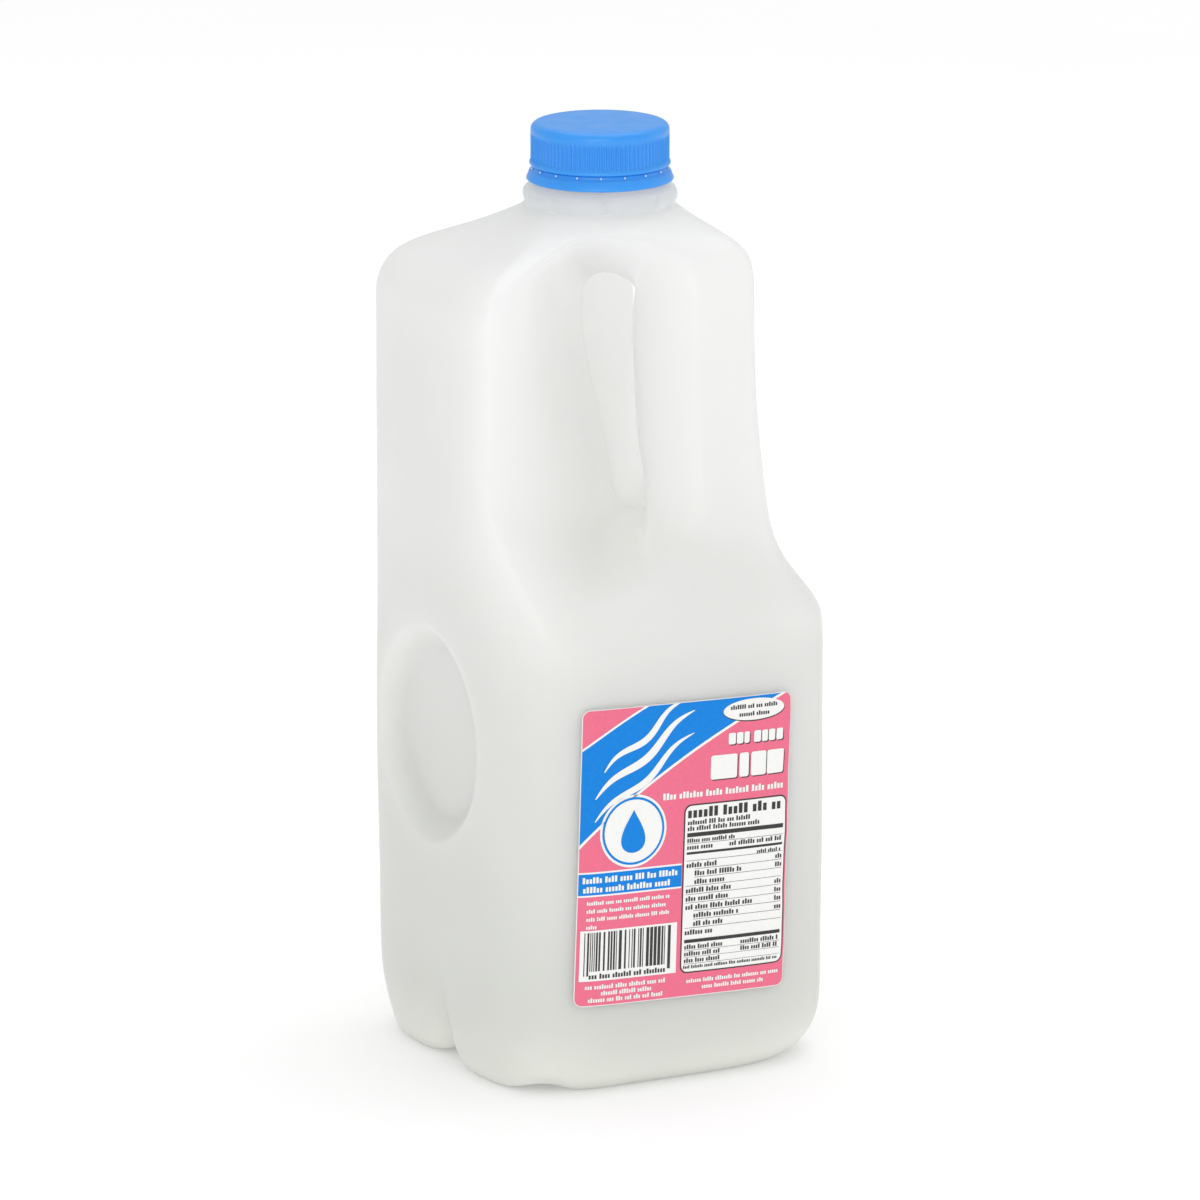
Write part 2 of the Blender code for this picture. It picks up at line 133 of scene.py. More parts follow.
# Finish of the body
WAVE = 0.10                 # how far the blown wall wanders
WAVE_LENGTH = 30.0
LUG_COUNT = 8               # lugs round the neck bead
LUG_CUT = 1.0               # depth of the gap between two lugs
LUG_GAP = math.radians(4.5)
SEAM_RADIUS = 0.07          # of the fine ridge along the parting plane
TINT_TOP = 0.25             # height in metres that the tints by height are spread over
# Painted shade and light by height: the body's colour darkens towards the bottom where less light
# reaches it, and the last stop makes the neck brighter and bluer as painted light under the cap's
# shadow.
PAINTED_SHADE_AND_LIGHT_BY_HEIGHT = ((0.0, (0.78, 0.79, 0.755)), (0.16, (0.89, 0.90, 0.87)),
                (0.48, (0.975, 0.98, 0.965)), (0.62, (1.0, 1.0, 1.0)), (0.96, (1.0, 1.0, 1.0)),
                (0.975, (1.0, 1.03, 1.03)))
# Painted light in hollows: where occlusion is strong, as in the finger pocket and under the neck,
# the base colour is brighter, and open faces are darker.
PAINTED_LIGHT_HOLLOW_REACH = 0.045        # metres
PAINTED_LIGHT_IN_HOLLOWS = ((0.38, (1.0, 1.0, 0.99)), (0.86, (0.815, 0.815, 0.815)))
SPREAD_PLACES = (0.46, 0.62)    # shares of TINT_TOP between which the spread of light grows
SPREAD_DEPTHS = (0.012, 0.052)  # metres, below and above them

# Cap and tamper band
CAP_RADIUS = 19.4
CAP_TOP = 265.6
SKIRT_BOTTOM = 253.6
BAND_TOP = 252.4
BAND_BOTTOM = 249.3
BAND_RADIUS = 20.6
CAP_WALL = 1.4
RIB_COUNT = 90
RIB_DEPTH = 0.50
RIB_STEPS = 8               # mesh columns to a rib
RIB_LOW = 254.8
RIB_HIGH = 262.9
SLOT_LIP = SKIRT_BOTTOM - 0.02  # the band's upper lip ends just under the skirt
BRIDGE_COUNT = 18           # breakable bridges between the skirt and the band
BRIDGE_TURN = 0.42          # share of a step that the first one is turned by
BRIDGE_Z = 252.9
BRIDGE_SIZE = (0.34, 0.34, 0.36)
# Painted shade in the cap's narrow hollows, between the ribs and in the slot: darker and greener
# there.
CAP_PAINTED_SHADE_REACH = 0.0011   # metres
CAP_PAINTED_SHADE_IN_HOLLOWS = ((0.45, (0.55, 0.78, 0.88)), (0.9, (1.0, 1.0, 1.0)))

# Label on the front panel, and the places on it from its own middle
LABEL_WIDTH = 66.0
LABEL_HEIGHT = 85.0
LABEL_T = -1.5
LABEL_Z = 68.5
LABEL_TILT = math.radians(-1.7)
LABEL_CORNER = 2.4
LABEL_LIFT = 0.22           # of its face above the wall
FILM_THICK = 0.14
INK_LIFT = 0.03             # between one printed field and the next
INK_INSET = 0.22            # the film's plain margin
CUT_U = 1.0                 # the fields are cut this fine, to follow the wall
CUT_V = 2.5
WHITE, PINK, BLUE, BLACK = range(4)

# Camera, as measured from the photograph, in metres
CAMERA_AZIMUTH = math.radians(17.5)
CAMERA_TILT = 0.239418752
CAMERA_BACK = 2.653595
CAMERA_HEIGHT = 0.775967
CAMERA_LENS = 290.6844

# Light: the world's strength, and each square lamp as (name, place, size, power)
WORLD_STRENGTH = 0.62
LAMPS = (("key", (0.35, -1.85, 0.65), 1.2, 8.0),
         ("side", (1.5, -1.2, 0.45), 1.0, 0.5),
         ("back", (1.4, 0.9, 0.5), 0.8, 1.5),
         ("top", (0.0, 0.7, 3.2), 3.4, 42.0))
FLOOR_SIZE = 9.0            # metres
FLOOR_GLOW = 0.17


def lerp(a, b, share):
    return a + (b - a) * share


def smooth(share):
    share = max(0.0, min(1.0, share))
    return share * share * (3.0 - 2.0 * share)


def side_point(f, half, radius):
    """A point on one side of the round-cornered square, as (along it, out from the axis).
    f runs from -1 to 1 by length, from one corner's middle to the next."""
    straight = half - radius
    length = straight + radius * math.pi / 4
    s = abs(f) * length
    sign = math.copysign(1.0, f)
    if s <= straight:
        return sign * s, half
    angle = (s - straight) / radius
    return sign * (straight + radius * math.sin(angle)), straight + radius * math.cos(angle)


def panel_out(t, half=BODY_HALF, radius=CORNER_RADIUS):
    """How far out the wall lies at the place t across a panel."""
    over = abs(t) - (half - radius)
    if over <= 0:
        return half
    return half - radius + math.sqrt(radius * radius - over * over)


def dimple_panel(t, out, z):
    return Vector(((t - out) / math.sqrt(2), (-t - out) / math.sqrt(2), z))


def label_panel(t, out, z):
    return Vector(((t + out) / math.sqrt(2), (t - out) / math.sqrt(2), z))


def column_fraction(column):
    """Where a column crosses its panel, from -1 to 1."""
    if column > PANEL_COLUMNS:
        return FRONT_PLACES[column - PANEL_COLUMNS]
    if column in (0, PANEL_COLUMNS):
        return -1.0 if column == 0 else 1.0
    straight = BODY_HALF - CORNER_RADIUS
    length = straight + CORNER_RADIUS * math.pi / 4
    t = BLOCK_HALF * (2 * (column - 1) / BLOCK_CELLS - 1)
    if abs(t) > straight:
        arc = CORNER_RADIUS * math.asin((abs(t) - straight) / CORNER_RADIUS)
        t = math.copysign(straight + arc, t)
    return t / length


def square_point(column, inset, z, radius=CORNER_RADIUS):
    """The full square section at one column."""
    t, out = side_point(column_fraction(column), BODY_HALF - inset, radius)
    panel = label_panel if column > PANEL_COLUMNS else dimple_panel
    return panel(t, out, z)


def handle_point(column, z):
    """The section through the handle at one column: the pocket wall, then the handle."""
    down = smooth((HOLE_TOP - 5.0 - z) / 62.0)
    crest = lerp(CREST_TOP, CREST_BOTTOM, down)
    inner = HANDLE_INNER + INNER_RISE * down
    plan = {PANEL_COLUMNS - 1: RIDGE,
            PANEL_COLUMNS: (RIDGE[0] + 5.4, RIDGE[1] + 2.0),
            PANEL_COLUMNS + 1: Vector(BULGE_TOP).lerp(Vector(BULGE_BOTTOM), down),
            PANEL_COLUMNS + 2: Vector(MIDWAY_TOP).lerp(Vector(MIDWAY_BOTTOM), down),
            HOLE_LEFT: (crest, 0.0),
            HOLE_RIGHT: (inner, 0.0),
            HOLE_RIGHT + 1: (inner - 0.1, 2.2 - HANDLE_SIDE),
            HOLE_RIGHT + 2: (inner + 8.0, -HANDLE_SIDE),
            HOLE_RIGHT + 3: (CREASE_X, -HANDLE_SIDE),
            HOLE_RIGHT + 4: (CREASE_X + 7.3, -HANDLE_SIDE / 2 - 0.8),
            LAST: (HANDLE_NOSE, 0.0),
            HOLE_LEFT + 1: ((crest + inner) / 2, 0.0)}
    if column not in plan:
        return square_point(column, 0.0, z)
    return Vector((*plan[column], z))


def base_row(index):
    """One row of the base: rounder corners, notches in two sides and a lifted corner."""
    z, dimple_inset, label_inset, radius, handle_radius = BASE_ROWS[index]
    row = []
    for column in range(LAST + 1):
        f = column_fraction(column)
        if column <= PANEL_COLUMNS:
            row.append(dimple_panel(*side_point(f, BODY_HALF - dimple_inset, radius), z))
        else:
            corner = radius if f < 0 else handle_radius
            row.append(label_panel(*side_point(f, BODY_HALF - label_inset, corner), z))
    if index < EDGE_ROW:
        return row
    fade = smooth((GROOVE_TOP - z) / (GROOVE_TOP - 4.0))
    middle = PANEL_COLUMNS // 2
    for column in (middle - 1, middle + 1):
        t, out = side_point(column_fraction(column), BODY_HALF - dimple_inset, radius)
        t = lerp(t, GROOVE_T + math.copysign(GROOVE_HALF_WIDTH, t), fade)
        row[column] = dimple_panel(t, out, z)
    lift = GROOVE_LIFT * smooth((12.0 - z) / 12.0)
    out = BODY_HALF - dimple_inset - GROOVE_DEPTH * fade
    row[middle] = dimple_panel(GROOVE_T * fade, out, z + lift)
    if z < 5.0:
        row[PANEL_COLUMNS].z += FOOT_LIFT
        row[PANEL_COLUMNS + 1].z += FOOT_LIFT * 0.5
    return row


def ledge_row(panel_z, pocket_z, pocket_share, nose_z, nose_share):
    """One row that turns the full square below into the handle section above."""
    row = []
    for column in range(LAST + 1):
        toward_front = smooth((column - PANEL_COLUMNS + 2) / 3.0)
        toward_nose = smooth((column - HOLE_RIGHT) / (LAST - HOLE_RIGHT))
        z = lerp(panel_z, lerp(pocket_z, nose_z, toward_nose), toward_front)
        share = lerp(pocket_share, nose_share, toward_nose)
        row.append(square_point(column, 0.0, z).lerp(handle_point(column, z), share))
    return row


def neck_angle(column):
    """The direction of each column on the round neck."""
    corner = math.radians(265.0)
    if column <= PANEL_COLUMNS:
        return lerp(math.pi, corner, column / PANEL_COLUMNS)
    return lerp(corner, 2 * math.pi, (column - PANEL_COLUMNS) / FRONT_COLUMNS)


def ring_point(column, radius, z):
    angle = neck_angle(column)
    return Vector((radius * math.cos(angle), radius * math.sin(angle), z))


def wall_top_row():
    """Top of the upright walls, and the arch that closes the finger hole above."""
    row = [handle_point(c, SHOULDER_Z + 7.5) for c in range(LAST + 1)]
    row[PANEL_COLUMNS + 1].z = 221.0
    row[PANEL_COLUMNS + 2].z = 221.5
    row[HOLE_LEFT] = Vector((CREST_TOP + 1.0, 0.0, HOLE_TOP - 5.0))
    row[HOLE_LEFT + 1].z = HOLE_TOP
    row[HOLE_RIGHT] = Vector((HANDLE_INNER - 1.0, 0.0, HOLE_TOP - 5.5))
    for column in range(HOLE_RIGHT + 1, LAST + 1):
        row[column].z = 218.5
    return row


def shoulder_edge_row():
    """The rounded shoulder edge, and half way up the sloping roof of the pocket."""
    row = [square_point(c, 4.0, 227.0, CORNER_RADIUS - 2.0) for c in range(LAST + 1)]
    plan = {PANEL_COLUMNS - 1: (-14.0, -57.0, 226.6),
            PANEL_COLUMNS: (-9.6, -54.8, 227.3),
            PANEL_COLUMNS + 1: (-5.6, -43.6, 229.0),
            PANEL_COLUMNS + 2: (-4.6, -27.0, 230.9),
            HOLE_LEFT: (-2.6, -17.2, 230.0),
            HOLE_LEFT + 1: (5.2, -17.6, 229.4),
            HOLE_RIGHT: (12.6, -17.0, 228.8),
            HOLE_RIGHT + 1: (17.4, -17.4, 228.4),
            HOLE_RIGHT + 2: (23.4, -16.4, 228.4),
            HOLE_RIGHT + 3: (32.9, -15.4, 228.6),
            HOLE_RIGHT + 4: (40.2, -8.4, 229.8),
            LAST: (46.8, 0.0, 230.9)}
    for column, place in plan.items():
        row[column] = Vector(place)
    return row


def shoulder_row():
    """The shoulder's outer slope, and the rim of the pocket under the neck."""
    row = [square_point(c, 13.0, 230.9, CORNER_RADIUS - 5.0) for c in range(LAST + 1)]
    plan = {PANEL_COLUMNS - 1: (-14.2, -47.6, 231.2),
            PANEL_COLUMNS: (-8.4, -45.4, 231.8),
            PANEL_COLUMNS + 1: (-3.6, -38.6, 233.6),
            PANEL_COLUMNS + 2: (0.0, -31.6, 236.2),
            HOLE_LEFT: (4.4, -28.4, 237.2),
            HOLE_LEFT + 1: (9.6, -26.6, 237.5),
            HOLE_RIGHT: (15.0, -24.4, 237.2),
            HOLE_RIGHT + 1: (20.2, -21.0, 236.0),
            HOLE_RIGHT + 2: (25.2, -17.6, 235.0),
            HOLE_RIGHT + 3: (30.0, -13.0, 234.6),
            HOLE_RIGHT + 4: (34.4, -6.8, 234.8),
            LAST: (36.8, 0.0, 235.6)}
    for column, place in plan.items():
        row[column] = Vector(place)
    return row


def neck_rows(outer):
    """From the shoulder in to the neck, over the bead and up the stub inside the cap."""
    rows = []
    for share, rise in ((0.42, 0.40), (0.74, 0.75), (0.93, 0.96)):
        row = []
        for column, start in enumerate(outer):
            end = ring_point(column, NECK_RADIUS, NECK_Z)
            point = start.lerp(end, share)
            sag = 0.05 * smooth((HOLE_LEFT - column) / 4.0)
            point.z = lerp(start.z, NECK_Z - 0.6, rise - sag)
            row.append(point)
        rows.append(row)
    profile = ((NECK_RADIUS, NECK_Z + 0.4), (BEAD_RADIUS, BEAD_LOW), (BEAD_RADIUS, BEAD_HIGH),
               (STUB_RADIUS + 0.9, BEAD_HIGH + 1.1), (STUB_RADIUS, BEAD_HIGH + 3.4),
               (STUB_RADIUS, STUB_TOP - 0.6), (STUB_RADIUS - 1.6, STUB_TOP))
    for radius, z in profile:
        rows.append([ring_point(c, radius, z) for c in range(LAST + 1)])
    return rows


def all_rows():
    """Every row of the cage from the underside to the top of the neck."""
    rows = [base_row(index) for index in range(len(BASE_ROWS))]
    block_first = len(rows)
    for k in range(BLOCK_CELLS + 1):
        z = DIMPLE_Z + BLOCK_HALF * (2 * k / BLOCK_CELLS - 1)
        row = []
        for column in range(LAST + 1):
            toward_front = smooth((column - PANEL_COLUMNS + 1) / 3.0)
            height = lerp(z, min(z, PANEL_TOP), toward_front)
            row.append(square_point(column, 0.0, height))
        rows.append(row)
    ledge_first = len(rows)
    rows += [ledge_row(*values) for values in LEDGE_ROWS]
    rows.append(wall_top_row())
    hole = (ledge_first + HOLE_FIRST, len(rows) - 1)
    rows.append(shoulder_edge_row())
    outer = shoulder_row()
    rows.append(outer)
    rows += neck_rows(outer)
    return rows, block_first, hole


def block_border(low, high, left, right):
    """Row and column of each place round a block of the cage, counter-clockwise."""
    border = [(low, c) for c in range(left, right)]
    border += [(r, right) for r in range(low, high)]
    border += [(high, c) for c in range(right, left, -1)]
    border += [(r, left) for r in range(high, low, -1)]
    return border


def disc_point(u, v, radius):
    """A square from -1 to 1 pressed into a disc."""
    return (u * math.sqrt(1 - v * v / 2) * radius, v * math.sqrt(1 - u * u / 2) * radius)


def add_dimple(bm, grid, first):
    """Rings down into the dimple and a floor in place of a block of the cage."""
    left = 1
    right = left + BLOCK_CELLS
    low, high = first, first + BLOCK_CELLS
    border = block_border(low, high, left, right)
    outer = [grid[r][c] for r, c in border]
    for radius, depth in DIMPLE_RINGS:
        ring = []
        for r, c in border:
            u = 2 * (c - left) / BLOCK_CELLS - 1
            v = 2 * (r - low) / BLOCK_CELLS - 1
            x, y = disc_point(u, v, radius)
            t = DIMPLE_T + x
            ring.append(bm.verts.new(dimple_panel(t, panel_out(t) - depth, DIMPLE_Z + y) * MM))
        for k in range(len(border)):
            n = (k + 1) % len(border)
            bm.faces.new((outer[k], outer[n], ring[n], ring[k]))
        outer = ring
    radius, depth = DIMPLE_FLOOR
    floor = {place: vert for place, vert in zip(border, outer)}
    for r in range(low + 1, high):
        for c in range(left + 1, right):
            u = 2 * (c - left) / BLOCK_CELLS - 1
            v = 2 * (r - low) / BLOCK_CELLS - 1
            x, y = disc_point(u, v, radius)
            place = dimple_panel(DIMPLE_T + x, BODY_HALF - depth, DIMPLE_Z + y)
            floor[(r, c)] = bm.verts.new(place * MM)
    for r in range(low, high):
        for c in range(left, right):
            bm.faces.new((floor[(r, c)], floor[(r, c + 1)],
                          floor[(r + 1, c + 1)], floor[(r + 1, c)]))


def close_end(bm, row, flip):
    """Strips across the parting plane's half disc, between opposite places of one row."""
    last = len(row) - 1
    for k in range(last // 2):
        ends = (row[k], row[k + 1], row[last - k - 1], row[last - k])
        if k + 1 == last - k - 1:
            ends = (row[k], row[k + 1], row[last - k])
        bm.faces.new(ends[::-1] if flip else ends)


def build_half_cage():
    """The cage of one half of the jug, open along the parting plane."""
    rows, block_first, hole = all_rows()
    bm = bmesh.new()
    block_columns = range(2, 1 + BLOCK_CELLS)
    block_rows = range(block_first + 1, block_first + BLOCK_CELLS)
    grid = []
    for r, row in enumerate(rows):
        line = []
        for c, place in enumerate(row):
            in_block = r in block_rows and c in block_columns
            in_hole = hole[0] < r < hole[1] and HOLE_LEFT < c < HOLE_RIGHT
            line.append(None if in_block or in_hole else bm.verts.new(place * MM))
        grid.append(line)
    for r in range(len(rows) - 1):
        for c in range(LAST):
            if hole[0] <= r < hole[1] and HOLE_LEFT <= c < HOLE_RIGHT:
                continue
            if block_first <= r < block_first + BLOCK_CELLS and 1 <= c < 1 + BLOCK_CELLS:
                continue
            bm.faces.new((grid[r][c], grid[r][c + 1], grid[r + 1][c + 1], grid[r + 1][c]))
    add_dimple(bm, grid, block_first)
    close_end(bm, grid[0], True)
    close_end(bm, grid[-1], False)
    add_creases(bm, grid, hole)
    return bm


def add_creases(bm, grid, hole):
    """Tighter edges along the handle's two long corners."""
    layer = bm.edges.layers.float.new("crease_edge")
    for column, weight, first in ((HOLE_RIGHT + 1, 0.5, 1), (HOLE_RIGHT + 3, 0.7, 0)):
        for r in range(hole[0] + first, hole[1] + 1):
            edge = bm.edges.get((grid[r][column], grid[r + 1][column]))
            edge[layer] = weight


def new_object(name, data, materials=()):
    obj = bpy.data.objects.new(name, data)
    bpy.context.scene.collection.objects.link(obj)
    for material in materials:
        data.materials.append(material)
    return obj


def mesh_object(name, bm, materials, smooth_shading=True):
    mesh = bpy.data.meshes.new(name)
    bm.normal_update()
    bm.to_mesh(mesh)
    bm.free()
    if smooth_shading:
        mesh.shade_smooth()
    return new_object(name, mesh, materials)


def apply_modifiers(obj):
    """The object's mesh as its modifiers leave it, in place of them."""
    evaluated = obj.evaluated_get(bpy.context.evaluated_depsgraph_get())
    mesh = bpy.data.meshes.new_from_object(evaluated)
    obj.modifiers.clear()
    obj.data = mesh


def dress(piece, node):
    """The piece rides on the part, and stands in for a node, which is hidden."""
    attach(piece, "root")
    if node:
        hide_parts(node)


def wander(place):
    """Slow unevenness of the blown wall, gone at the ground and at the neck."""
    fade = smooth((place.z - 4.0) / 20.0) * smooth((NECK_Z - 4.0 - place.z) / 20.0)
    slow = noise.noise(place / WAVE_LENGTH)
    quick = noise.noise(place / (WAVE_LENGTH * 0.35) + Vector((5.0, 3.0, 1.0)))
    return WAVE * fade * (slow + 0.35 * quick)


def lug_cut(place):
    """How far the neck bead is cut back between its lugs."""
    if not BEAD_LOW - 1.6 < place.z < BEAD_HIGH + 0.2 or place.xy.length < STUB_RADIUS + 1.0:
        return 0.0
    step = 2 * math.pi / LUG_COUNT
    angle = math.atan2(place.y, place.x) % step - step / 2
    low = smooth((BEAD_HIGH + 0.4 - place.z) / 2.2)
    return LUG_CUT * low * math.exp(-(angle / LUG_GAP) ** 2)


def make_body(material):
    """The moulded body, finer than the solid, with its wall's unevenness and neck lugs."""
    body = mesh_object("jug_wall", build_half_cage(), (material,))
    mirror = body.modifiers.new("Two halves", "MIRROR")
    mirror.use_axis = (False, True, False)
    mirror.use_clip = True
    mirror.merge_threshold = 0.00005
    surface = body.modifiers.new("Moulded surface", "SUBSURF")
    surface.levels = SUBDIVISION
    surface.render_levels = SUBDIVISION
    apply_modifiers(body)
    normals = [Vector(n.vector) for n in body.data.vertex_normals]
    for vertex, normal in zip(body.data.vertices, normals):
        place = vertex.co / MM
        shift = normal * wander(place)
        cut = lug_cut(place)
        if cut:
            shift -= Vector((place.x, place.y, 0.0)).normalized() * cut
        vertex.co += shift * MM
    body.data.shade_smooth()
    dress(body, "jug_body")
    return body


def seam_chains(mesh):
    """Runs of mesh points that lie on the parting plane, outside the cap and off the ground."""
    def wanted(index):
        place = mesh.vertices[index].co / MM
        return abs(place.y) < 0.02 and 1.5 < place.z < BEAD_LOW - 1.0
    neighbours = {}
    for edge in mesh.edges:
        a, b = edge.vertices
        if wanted(a) and wanted(b):
            neighbours.setdefault(a, []).append(b)
            neighbours.setdefault(b, []).append(a)
    chains = []
    while neighbours:
        ends = [v for v, near in neighbours.items() if len(near) == 1]
        current = min(ends) if ends else min(neighbours)
        chain = []
        while current is not None:
            chain.append(mesh.vertices[current].co.copy())
            near = neighbours.pop(current)
            following = None
            for other in near:
                if other in neighbours:
                    neighbours[other] = [v for v in neighbours[other] if v != current]
                    following = other
            current = following
        if len(chain) > 8:
            chains.append(chain)
    return chains


def make_seam(body, material):
    """The fine ridge that the mould's parting line leaves."""
    curve = bpy.data.curves.new("parting_line", "CURVE")
    curve.dimensions = "3D"
    curve.bevel_depth = SEAM_RADIUS * MM
    curve.bevel_resolution = 1
    for chain in seam_chains(body.data):
        spline = curve.splines.new("POLY")
        spline.points.add(len(chain) - 1)
        for point, place in zip(spline.points, chain):
            point.co = (*place, 1.0)
    seam = new_object("parting_line", curve, (material,))
    dress(seam, None)


def turned_shell(profile, columns, radius_at):
    """A closed turned wall. The profile is a loop of (radius, height), and radius_at gives
    the radius of one of its points at an angle. A point at radius 0 is a single vertex."""
    bm = bmesh.new()
    rings = []
    for radius, z in profile:
        if radius == 0.0:
            rings.append([bm.verts.new((0.0, 0.0, z * MM))] * columns)
            continue
        ring = []
        for c in range(columns):
            angle = 2 * math.pi * c / columns
            r = radius_at(radius, z, angle)
            ring.append(bm.verts.new((r * math.cos(angle) * MM, r * math.sin(angle) * MM, z * MM)))
        rings.append(ring)
    for upper, lower in zip(rings, rings[1:]):
        for c in range(columns):
            n = (c + 1) % columns
            corners = [upper[c], lower[c], lower[n], upper[n]]
            face = [v for k, v in enumerate(corners) if v not in corners[:k]]
            bm.faces.new(face)
    return bm


def rib_radius(radius, z, angle):
    """Ribs stand on the skirt between two heights, with rounded ends."""
    if radius < CAP_RADIUS - 0.6:
        return radius
    ends = smooth((z - RIB_LOW) / 0.7) * smooth((RIB_HIGH - z) / 1.6)
    wave = 0.5 + 0.5 * math.cos(angle * RIB_COUNT)
    return radius - RIB_DEPTH * ends * (1.0 - wave ** 2.2)


def make_cap(material):
    """The screw cap: a softly domed top edge, ribs, and a plain rim below them."""
    inner = CAP_RADIUS - CAP_WALL
    profile = [(0.0, CAP_TOP), (CAP_RADIUS - 7.0, CAP_TOP), (CAP_RADIUS - 3.6, CAP_TOP - 0.05)]
    for k in range(9):
        angle = math.radians(90.0 * k / 8)
        profile.append((CAP_RADIUS - 2.3 + 2.3 * math.sin(angle),
                        CAP_TOP - 2.1 + 2.0 * math.cos(angle)))
    steps = 14
    for k in range(steps + 1):
        profile.append((CAP_RADIUS, lerp(RIB_HIGH, RIB_LOW, k / steps)))
    profile += [(CAP_RADIUS + 0.22, RIB_LOW - 0.22), (CAP_RADIUS + 0.34, RIB_LOW - 0.5),
                (CAP_RADIUS + 0.34, SKIRT_BOTTOM + 0.35), (CAP_RADIUS + 0.1, SKIRT_BOTTOM),
                (inner + 0.2, SKIRT_BOTTOM), (inner, SKIRT_BOTTOM + 0.2), (inner, CAP_TOP - 2.0),
                (0.0, CAP_TOP - 2.0)]
    bm = turned_shell(profile, RIB_COUNT * RIB_STEPS, rib_radius)
    cap = mesh_object("screw_cap", bm, (material,))
    dress(cap, "cap")


def make_band(material, pale):
    """The tamper band below the cap, flaring over the bead, with a recessed upper lip that
    reaches up to the skirt's underside."""
    inner = CAP_RADIUS - CAP_WALL - 0.1
    profile = ((inner, SLOT_LIP), (CAP_RADIUS - 0.5, SLOT_LIP),
               (CAP_RADIUS - 0.42, BAND_TOP + 0.5), (CAP_RADIUS - 0.3, BAND_TOP),
               (CAP_RADIUS + 0.02, BAND_TOP - 0.3), (CAP_RADIUS + 0.42, BAND_TOP - 0.6),
               (BAND_RADIUS - 0.3, BAND_BOTTOM + 1.2), (BAND_RADIUS, BAND_BOTTOM + 0.6),
               (BAND_RADIUS, BAND_BOTTOM + 0.3), (BAND_RADIUS - 0.3, BAND_BOTTOM),
               (BAND_RADIUS - 1.3, BAND_BOTTOM), (inner, BAND_TOP - 0.8),
               (inner, SLOT_LIP))
    bm = turned_shell(profile, 240, lambda radius, z, angle: radius)
    bmesh.ops.remove_doubles(bm, verts=bm.verts, dist=0.00001)
    for k in range(BRIDGE_COUNT):
        add_bridge(bm, 2 * math.pi * (k + BRIDGE_TURN) / BRIDGE_COUNT)
    band = mesh_object("tamper_band", bm, (material, pale))
    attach(band, "root")


def add_bridge(bm, angle):
    """One small bridge across the slot between the skirt and the band."""
    made = bmesh.ops.create_icosphere(bm, subdivisions=2, radius=1.0)
    radius = CAP_RADIUS - 0.12
    centre = Vector((radius * math.cos(angle), radius * math.sin(angle), BRIDGE_Z)) * MM
    bmesh.ops.scale(bm, vec=Vector(BRIDGE_SIZE) * MM, verts=made["verts"])
    bmesh.ops.translate(bm, vec=centre, verts=made["verts"])
    # The bridges take the band's second slot, a pale blue that is a painted highlight.
    for vertex in made["verts"]:
        for face in vertex.link_faces:
            face.material_index = 1


def bezier(points, steps):
    """Places along a cubic curve given by its four control points."""
    places = []
    for k in range(steps + 1):
        s = k / steps
        weights = ((1 - s) ** 3, 3 * s * (1 - s) ** 2, 3 * s * s * (1 - s), s ** 3)
        places.append(tuple(sum(w * p[i] for w, p in zip(weights, points)) for i in (0, 1)))
    return places


def round_rectangle(left, low, right, high, radius, steps=5):
    """Outline of a rectangle with round corners, counter-clockwise."""
    outline = []
    corners = ((right - radius, low + radius, -90), (right - radius, high - radius, 0),
               (left + radius, high - radius, 90), (left + radius, low + radius, 180))
    for cu, cv, start in corners:
        for k in range(steps + 1):
            angle = math.radians(start + 90.0 * k / steps)
            outline.append((cu + radius * math.cos(angle), cv + radius * math.sin(angle)))
    return outline


def ellipse(cu, cv, half_u, half_v, steps=40):
    angles = [2 * math.pi * k / steps for k in range(steps)]
    return [(cu + half_u * math.cos(a), cv + half_v * math.sin(a)) for a in angles]


def drop(cu, cv, size, steps=36):
    """A drop with its point up."""
    outline = []
    for k in range(steps):
        angle = 2 * math.pi * k / steps
        narrow = math.sin(angle / 2) ** 1.4
        outline.append((cu + size * math.sin(angle) * narrow * 0.86,
                        cv + size * (math.cos(angle) + 0.12)))
    return outline[::-1]


class Print:
    """The label's printed fields: flat outlines in one mesh, each with an ink and a layer."""

    def __init__(self):
        self.bm = bmesh.new()

    def field(self, outline, ink, layer):
        verts = [self.bm.verts.new((u, v, layer)) for u, v in outline]
        face = self.bm.faces.new(verts)
        face.material_index = ink
        return face

    def bar(self, left, low, right, high, ink, layer):
        self.field(((left, low), (right, low), (right, high), (left, high)), ink, layer)

    def ribbon(self, centre, widths, ink, layer):
        """A strip along the places in centre, as wide as widths says at each."""
        sides = []
        for k, (u, v) in enumerate(centre):
            before = centre[max(k - 1, 0)]
            after = centre[min(k + 1, len(centre) - 1)]
            along = Vector((after[0] - before[0], after[1] - before[1])).normalized()
            half = widths[k] / 2
            sides.append(((u - along.y * half, v + along.x * half),
                          (u + along.y * half, v - along.x * half)))
        for (a, b), (c, d) in zip(sides, sides[1:]):
            self.field((b, d, c, a), ink, layer)

    def ticks(self, left, right, low, height, ink, layer, seed):
        """A row of small upright blocks in groups, in place of a line of small print."""
        draw = random.Random(seed)
        width = height * 0.40
        u = left
        while u + width < right:
            for _ in range(draw.randint(3, 8)):
                if u + width > right:
                    break
                top = height * draw.choice((0.74, 0.74, 1.0))
                self.bar(u, low, u + width, low + top, ink, layer)
                u += width + height * 0.17
            u += height * 0.42


def print_band(art):
    """The blue band with white edges that crosses the label's upper corner."""
    lower = bezier(((-33.0, 3.2), (-24.0, 13.5), (6.0, 32.6), (31.0, 42.5)), 24)
    upper = bezier(((-12.8, 42.5), (-19.0, 39.6), (-26.0, 35.6), (-33.0, 31.0)), 10)
    art.field(lower + upper, BLUE, 2)
    art.ribbon(lower, [0.75] * len(lower), WHITE, 3)
    art.ribbon(upper, [0.6] * len(upper), WHITE, 3)


